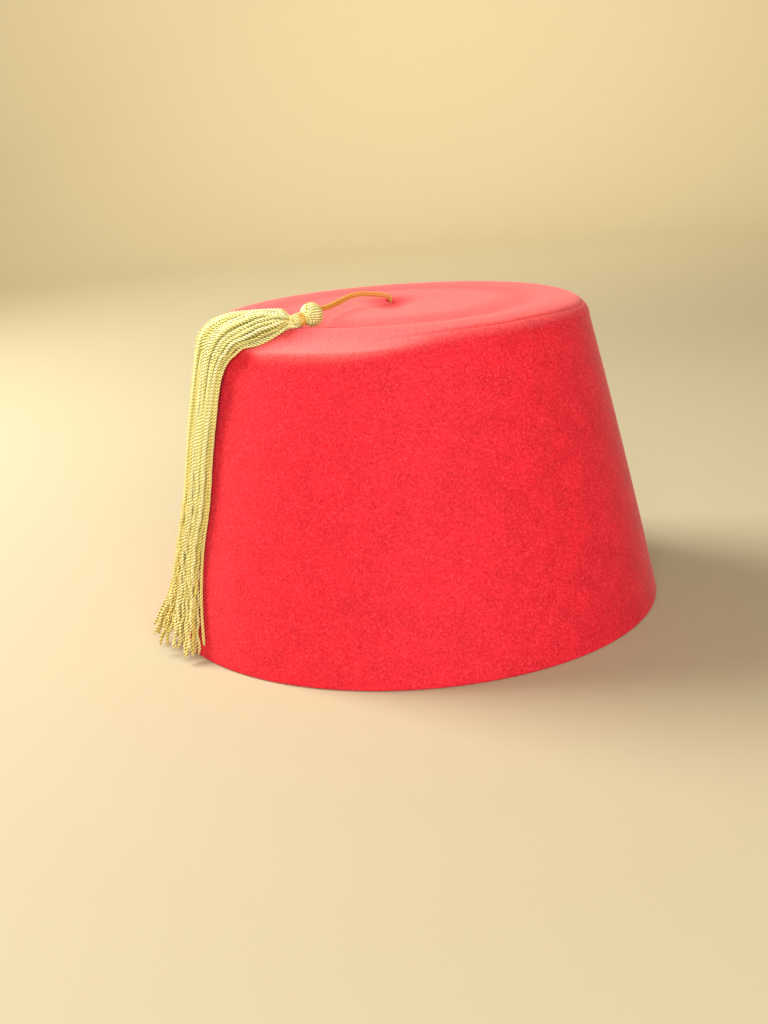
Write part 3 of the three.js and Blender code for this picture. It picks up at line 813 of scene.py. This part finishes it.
def bundle_point(place, across, level):
    """A point of the bundle and the felt's normal there. `across` runs from its near to its far
    edge, and `level` from its underside to its top."""
    row = dict(zip(ROW_KEYS, np.moveaxis(through_rows(SKIRT_ROWS, place), -1, 0)))
    along = mix(row["near_along"], row["far_along"], across) * MM
    azimuth = mix(row["near_azimuth"], row["far_azimuth"], across)
    height = row["thick"] * MM * (1 - EDGE_THINNING * np.clip(np.abs(2 * across - 1), 0, 1) ** 2)
    off = row["clear"] * MM + STRAND_RADIUS + level * np.maximum(height - 2 * STRAND_RADIUS, 0)
    normal = felt_normal(along, azimuth)
    return felt_point(along, azimuth) + normal * off[..., None], normal


middle_line = bundle_point(np.linspace(0, 1, LINE_POINTS), np.full(LINE_POINTS, LINE_ACROSS),
                           np.full(LINE_POINTS, LINE_LEVEL))[0]
line_length = np.concatenate([[0], np.cumsum(np.linalg.norm(np.diff(middle_line, axis=0), axis=1))])
SKIRT_LENGTH = line_length[-1]
print("strand length in mm:", round(SKIRT_LENGTH / MM, 1))

# %% [markdown]
# ## How strands wander
# Strands that hang from one tie never lie quite parallel. A strand is a place across the
# bundle and a height in it, and both wander a little on the way down, more where the strands
# hang free, so the strands cross. A sum of a few slow sines with random phases does this and
# stays smooth. The seed is fixed, so every run gives the same tassel.

# %% Random waves down a strand
draw = np.random.default_rng(7)
LAYERS, IN_LAYER = 3, 15
STRANDS = LAYERS * IN_LAYER
ACROSS_HOMES, HOME_ERROR, LEVEL_ERROR = (-0.03, 1.06), 0.01, 0.05
# Waves down the strand, their size, how much of them shows on the hat, and how much more below.
ACROSS_WAVES = [((1, 2, 3), 0.012, 1.0, 1.2), ((5, 8), 0.006, 0.5, 2.0), ((15, 21), 0.016, 0.4, 2.2)]
LEVEL_WAVES = [((1.5, 3), 0.10, 1.0, 0.0), ((7, 17), 0.11, 0.4, 1.4)]
LOOSE, CURLED = (0.55, 1.0), (0.6, 0.9)            # places in the bundle's table
CROSS_OVER, CROSSED, CROSSING = (0.06, 0.24), (0.25, 0.55), 0.10
CURL = dict(length=8.0 * MM, across=0.014, level=0.07)


def wander(place, waves, size):
    """A slow random wave for each strand: a sum of sines of rising count and random phase."""
    phase = draw.uniform(0, 2 * math.pi, (STRANDS, len(waves)))
    height = draw.normal(0, 1, (STRANDS, len(waves))) / np.sqrt(np.array(waves))
    sines = (height[:, [k]] * np.sin(2 * math.pi * wave * place + phase[:, [k]])
             for k, wave in enumerate(waves))
    return size * sum(sines)


def swayed(home, table, place):
    """The home place of each strand plus its waves."""
    for waves, size, on_hat, more_below in table:
        home = home + wander(place, waves, size) * (on_hat + more_below * rise(place, *LOOSE))
    return home


def strand_homes():
    """Each strand's layer, its place across the bundle and its height in it."""
    number = np.arange(STRANDS)
    layer = number % LAYERS
    slot = (number // LAYERS + 0.5 + (layer - 1) / LAYERS) / IN_LAYER
    across = mix(*ACROSS_HOMES, slot) + draw.normal(0, HOME_ERROR, STRANDS)
    level = layer / (LAYERS - 1) + draw.normal(0, LEVEL_ERROR, STRANDS)
    return layer[:, None], across[:, None], level[:, None]


def wandering(across_home, level_home, place, run):
    """Both places with their waves, a slight curl where the strands hang, and the upper layers
    crossing over the lower ones on the rolled edge."""
    across = swayed(across_home, ACROSS_WAVES, place)
    level = swayed(level_home, LEVEL_WAVES, place)
    curl = 2 * math.pi * run / CURL["length"] + draw.uniform(0, 2 * math.pi, (STRANDS, 1))
    across = across + CURL["across"] * rise(place, *CURLED) * np.cos(curl)
    level = level + CURL["level"] * rise(place, *CURLED) * np.sin(curl)
    crossing = rise(place, *CROSS_OVER) * (1 - rise(place, *CROSSED))
    return across + (level_home - 0.5) * CROSSING * crossing, level


print("strands:", STRANDS, "in", LAYERS, "layers")

# %% [markdown]
# ## Tassel strands
# In the binding the strands are squeezed into a small round neck, and beyond it each leaves
# for its own place in the bundle. At the ends they gather into a few pointed tufts, and the
# outer ones flare off the felt. Cut ends are never level, so each strand has its own length.

# %% Each strand's own way down
STRAND_LAY, RINGS_A_TURN = 2.5 * MM, 8
LONGEST, UNEVEN, FEW_SHORT = 0.999, 0.04, 1.6      # reach = longest - uneven x random^few_short
NECK_HIDDEN, NECK_SPREAD, NECK_SQUEEZE = 2.2 * MM, 2.15 * MM, 0.62
LET_GO = 7.0 * MM
GOLDEN = 0.618
TUFTS, TUFT_WIDTH, GATHERED, GATHER = 5, 0.3, 0.85, (0.85, 1.0)
FLARE, FLARE_NEAR, FLARE_MORE_FAR, FLARE_RANDOM = 0.4, 0.4, 2.2, (0.3, 1.2)
ACROSS_LIMITS, HIGHEST = (-0.04, 1.08), 1.05
TIP, TIP_BLUNT = 1.6 * MM, 0.05
ANY_TURN = 6.28          # radians


def gathered(across, level, across_home, run):
    """Both places near the ends: drawn to the nearest tuft, and flaring off the felt."""
    tuft = (np.floor(across_home * TUFTS) + 0.5) / TUFTS
    gather = rise(run / SKIRT_LENGTH, *GATHER)
    across = np.clip(mix(across, tuft + (across - tuft) * TUFT_WIDTH, gather * GATHERED), *ACROSS_LIMITS)
    own = draw.uniform(*FLARE_RANDOM, (STRANDS, 1))
    flare = gather * (FLARE_NEAR + FLARE_MORE_FAR * across_home) * own
    return across, np.clip(level, 0, HIGHEST) + flare * FLARE


def in_the_neck(layer, across_home, run):
    """Each strand's straight way through the binding, from its place on a disc: the square of
    places (x, y) is pressed to the disc by x √(1 - y²/2) and y √(1 - x²/2)."""
    stacked = (layer + np.arange(STRANDS)[:, None] * GOLDEN % 1) / LAYERS
    square = np.clip(np.stack([across_home - 0.5, stacked - 0.5], axis=-1) * 2, -1, 1)
    disc = square * np.sqrt(1 - square[..., ::-1] ** 2 / 2) * NECK_SPREAD
    skirt_start = BINDING["start"] + BINDING["length"] + GAP
    return (BALL_MIDDLE + NECK_AXIS * (skirt_start + run)[..., None]
            - ACROSS_NECK * disc[..., [0]] + ABOVE_NECK * disc[..., [1]])


def strand_paths():
    """Strand = the bundle's point at its own wandering place, mixed with its way through the
    neck over the first few millimetres."""
    layer, across_home, level_home = strand_homes()
    reach = (LONGEST - UNEVEN * draw.random(STRANDS) ** FEW_SHORT)[:, None]
    rings = int(SKIRT_LENGTH / STRAND_LAY * RINGS_A_TURN)
    run = np.linspace(-NECK_HIDDEN, SKIRT_LENGTH, rings)[None] * reach - NECK_HIDDEN * (1 - reach)
    place = np.interp(run, line_length, np.linspace(0, 1, len(line_length)))
    across, level = wandering(across_home, level_home, place, run)
    points, normal = bundle_point(place, *gathered(across, level, across_home, run))
    free = smooth(run / LET_GO)
    points = mix(in_the_neck(layer, across_home, run), points, free[..., None])
    tip = np.clip((reach * SKIRT_LENGTH - run) / TIP, TIP_BLUNT, 1)
    return points, normal, STRAND_RADIUS * mix(NECK_SQUEEZE, 1, free) * np.sqrt(tip)


paths, normals, radii = strand_paths()
GROUPS = 4
for group in range(GROUPS):
    pick = slice(group * STRANDS // GROUPS, (group + 1) * STRANDS // GROUPS)
    strands = add_yarn(f"tassel_strands_{group + 1}", paths[pick], radii[pick], STRAND_LAY, normals[pick],
                       pale_gold, turn=draw.uniform(0, ANY_TURN, radii[pick].shape[0]))
    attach(strands, "root")
    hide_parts("tassel_skirt")

# %% [markdown]
# ## Where the cord leaves the felt
# The place where the cord leaves the felt is printed, in millimetres.

# %% Cord facts
print("cord leaves the felt at, in mm:", (CORD_ROUTE[1] / MM).round(1).tolist())

# %% [markdown]
# ## Floor
# A pale floor that curves up all round gives a plain background from every side. A surface of
# revolution is enough: flat to a radius, then a quarter circle, then a straight wall.

# %% Studio floor
FLOOR_FLAT, FLOOR_BEND, FLOOR_WALL, FLOOR_SIDES = 1.5, 0.8, 1.6, 96
MIDDLE_RINGS, BEND_RINGS = [0.001, 0.3], 17


def studio_floor():
    """Rings of (radius, height): flat, then (flat + bend sin t, bend (1 - cos t)), then upright."""
    angle = np.linspace(0, math.pi / 2, BEND_RINGS)
    edge = FLOOR_FLAT + FLOOR_BEND
    radius = np.concatenate([MIDDLE_RINGS, FLOOR_FLAT + FLOOR_BEND * np.sin(angle), [edge]])
    height = np.concatenate([[0, 0], FLOOR_BEND * (1 - np.cos(angle)), [FLOOR_BEND + FLOOR_WALL]])
    turn = np.linspace(0, 2 * math.pi, FLOOR_SIDES, endpoint=False)
    points = np.stack([radius[:, None] * np.cos(turn), radius[:, None] * np.sin(turn),
                       np.repeat(height[:, None], FLOOR_SIDES, axis=1)], axis=-1)
    faces = [tube_faces(1, len(radius), FLOOR_SIDES), np.arange(FLOOR_SIDES)[None]]
    material, tree, shader = new_material("pale_studio_paper")
    set_sockets(tree, shader, {"Base Color": linear("#B9AC8C"), "Roughness": 0.8})
    add_piece("studio_floor", points, faces, material)


studio_floor()

# %% [markdown]
# ## Soft light
# One soft light comes from the upper left and a little behind, as a window would, and rakes
# the top so that the felt's nap and the lobes of the strands show. A broad fill from the front
# keeps the side bright. A third light is turned to the wall behind, and makes it a warm pale
# ground for the red. The room itself adds a little light from every side.

# %% Soft lights
HAT_MIDDLE = (0, 0, 0.06)
ROOM_COLOUR, ROOM_STRENGTH = "#FFF8EC", 0.3


def add_light(name, place, aim, size, watts, colour, spread=180.0):
    """A square area light at a place, turned to a point."""
    light = bpy.data.lights.new(name, "AREA")
    light.size = size
    light.energy = watts
    light.spread = math.radians(spread)
    light.color = linear(colour)[:3]
    lamp = bpy.data.objects.new(name, light)
    lamp.matrix_world = looking(Vector(place), Vector(aim))
    bpy.context.scene.collection.objects.link(lamp)
    print(name, "gives", watts, "W")


add_light("window", (-0.82, 0.34, 0.78), HAT_MIDDLE, size=0.6, watts=23, colour="#FFFDF6")
add_light("front_fill", (0.1, -1.2, 0.5), HAT_MIDDLE, size=1.0, watts=20, colour="#FFFFFF")
add_light("backdrop_wash", (0, 0.7, 1.5), (0, 2.3, 0.5), size=1.2, watts=19, colour="#FFF6E4", spread=110.0)
world = bpy.data.worlds.new("soft_room")
world.use_nodes = True
world.node_tree.nodes["Background"].inputs["Color"].default_value = linear(ROOM_COLOUR)
world.node_tree.nodes["Background"].inputs["Strength"].default_value = ROOM_STRENGTH
bpy.context.scene.world = world
bpy.context.scene.view_settings.view_transform = "Standard"
